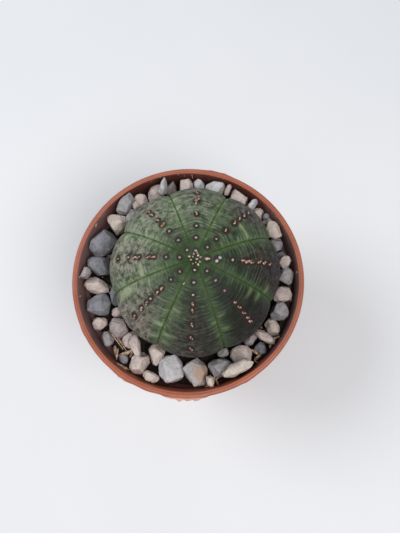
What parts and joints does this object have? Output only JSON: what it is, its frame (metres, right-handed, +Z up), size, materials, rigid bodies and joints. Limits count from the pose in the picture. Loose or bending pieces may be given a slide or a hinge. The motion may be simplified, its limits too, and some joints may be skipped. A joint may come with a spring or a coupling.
{
  "type": "potted euphorbia",
  "caption": "Ribbed globe-shaped spurge (Euphorbia obesa) in a small round terracotta-coloured plastic nursery pot, its potting mix covered with loose gravel.",
  "frame": {"origin": "centre of the pot's foot, on the surface that the pot stands on", "axes": "+Z up along the pot's axis; -Y towards the viewer, who looks down from a little in front; one rib crest of the plant points along +X"},
  "size_m": [0.055, 0.055, 0.0615],
  "materials": {
    "terracotta": "satin",
    "mix": "matte",
    "skin": "satin",
    "sand": "matte",
    "cream": "matte",
    "pale": "matte",
    "grey": "matte",
    "slate": "matte",
    "mauve": "matte",
    "rust": "matte",
    "straw": "matte"
  },
  "bodies": {
    "root": {"pot": "terracotta", "potting_mix": "mix", "plant": "skin", "stone_01": "pale", "stone_02": "sand", "stone_03": "sand", "stone_04": "sand", "stone_05": "sand", "stone_06": "cream", "stone_07": "slate", "stone_08": "slate", "stone_09": "sand", "stone_10": "slate", "stone_11": "mauve", "stone_12": "sand", "stone_13": "sand", "stone_14": "pale", "stone_15": "rust", "stone_16": "grey", "stone_17": "sand", "stone_18": "sand", "stone_19": "grey", "stone_20": "sand", "stone_21": "grey", "stone_22": "sand", "stone_23": "cream", "stone_24": "slate", "stone_25": "mauve", "stone_26": "sand", "stone_27": "mauve", "stone_28": "pale", "stone_29": "slate", "stone_30": "sand", "stone_31": "sand", "stone_32": "grey", "stone_33": "sand", "stone_34": "cream", "stone_35": "slate", "stone_36": "grey", "stone_37": "slate", "stone_38": "pale", "stone_39": "cream", "stone_40": "pale", "stone_41": "sand", "stone_42": "grey", "stone_43": "sand", "stone_44": "pale", "stone_45": "cream", "stone_46": "slate", "stone_47": "mauve", "stone_48": "sand", "stone_49": "pale", "stone_50": "cream", "stone_51": "cream", "stone_52": "grey", "dry_stem": "straw", "dry_husk_long": "straw", "dry_husk_split": "straw", "dry_husk_curl": "straw", "dry_chip": "straw"}
  },
  "joints": []
}
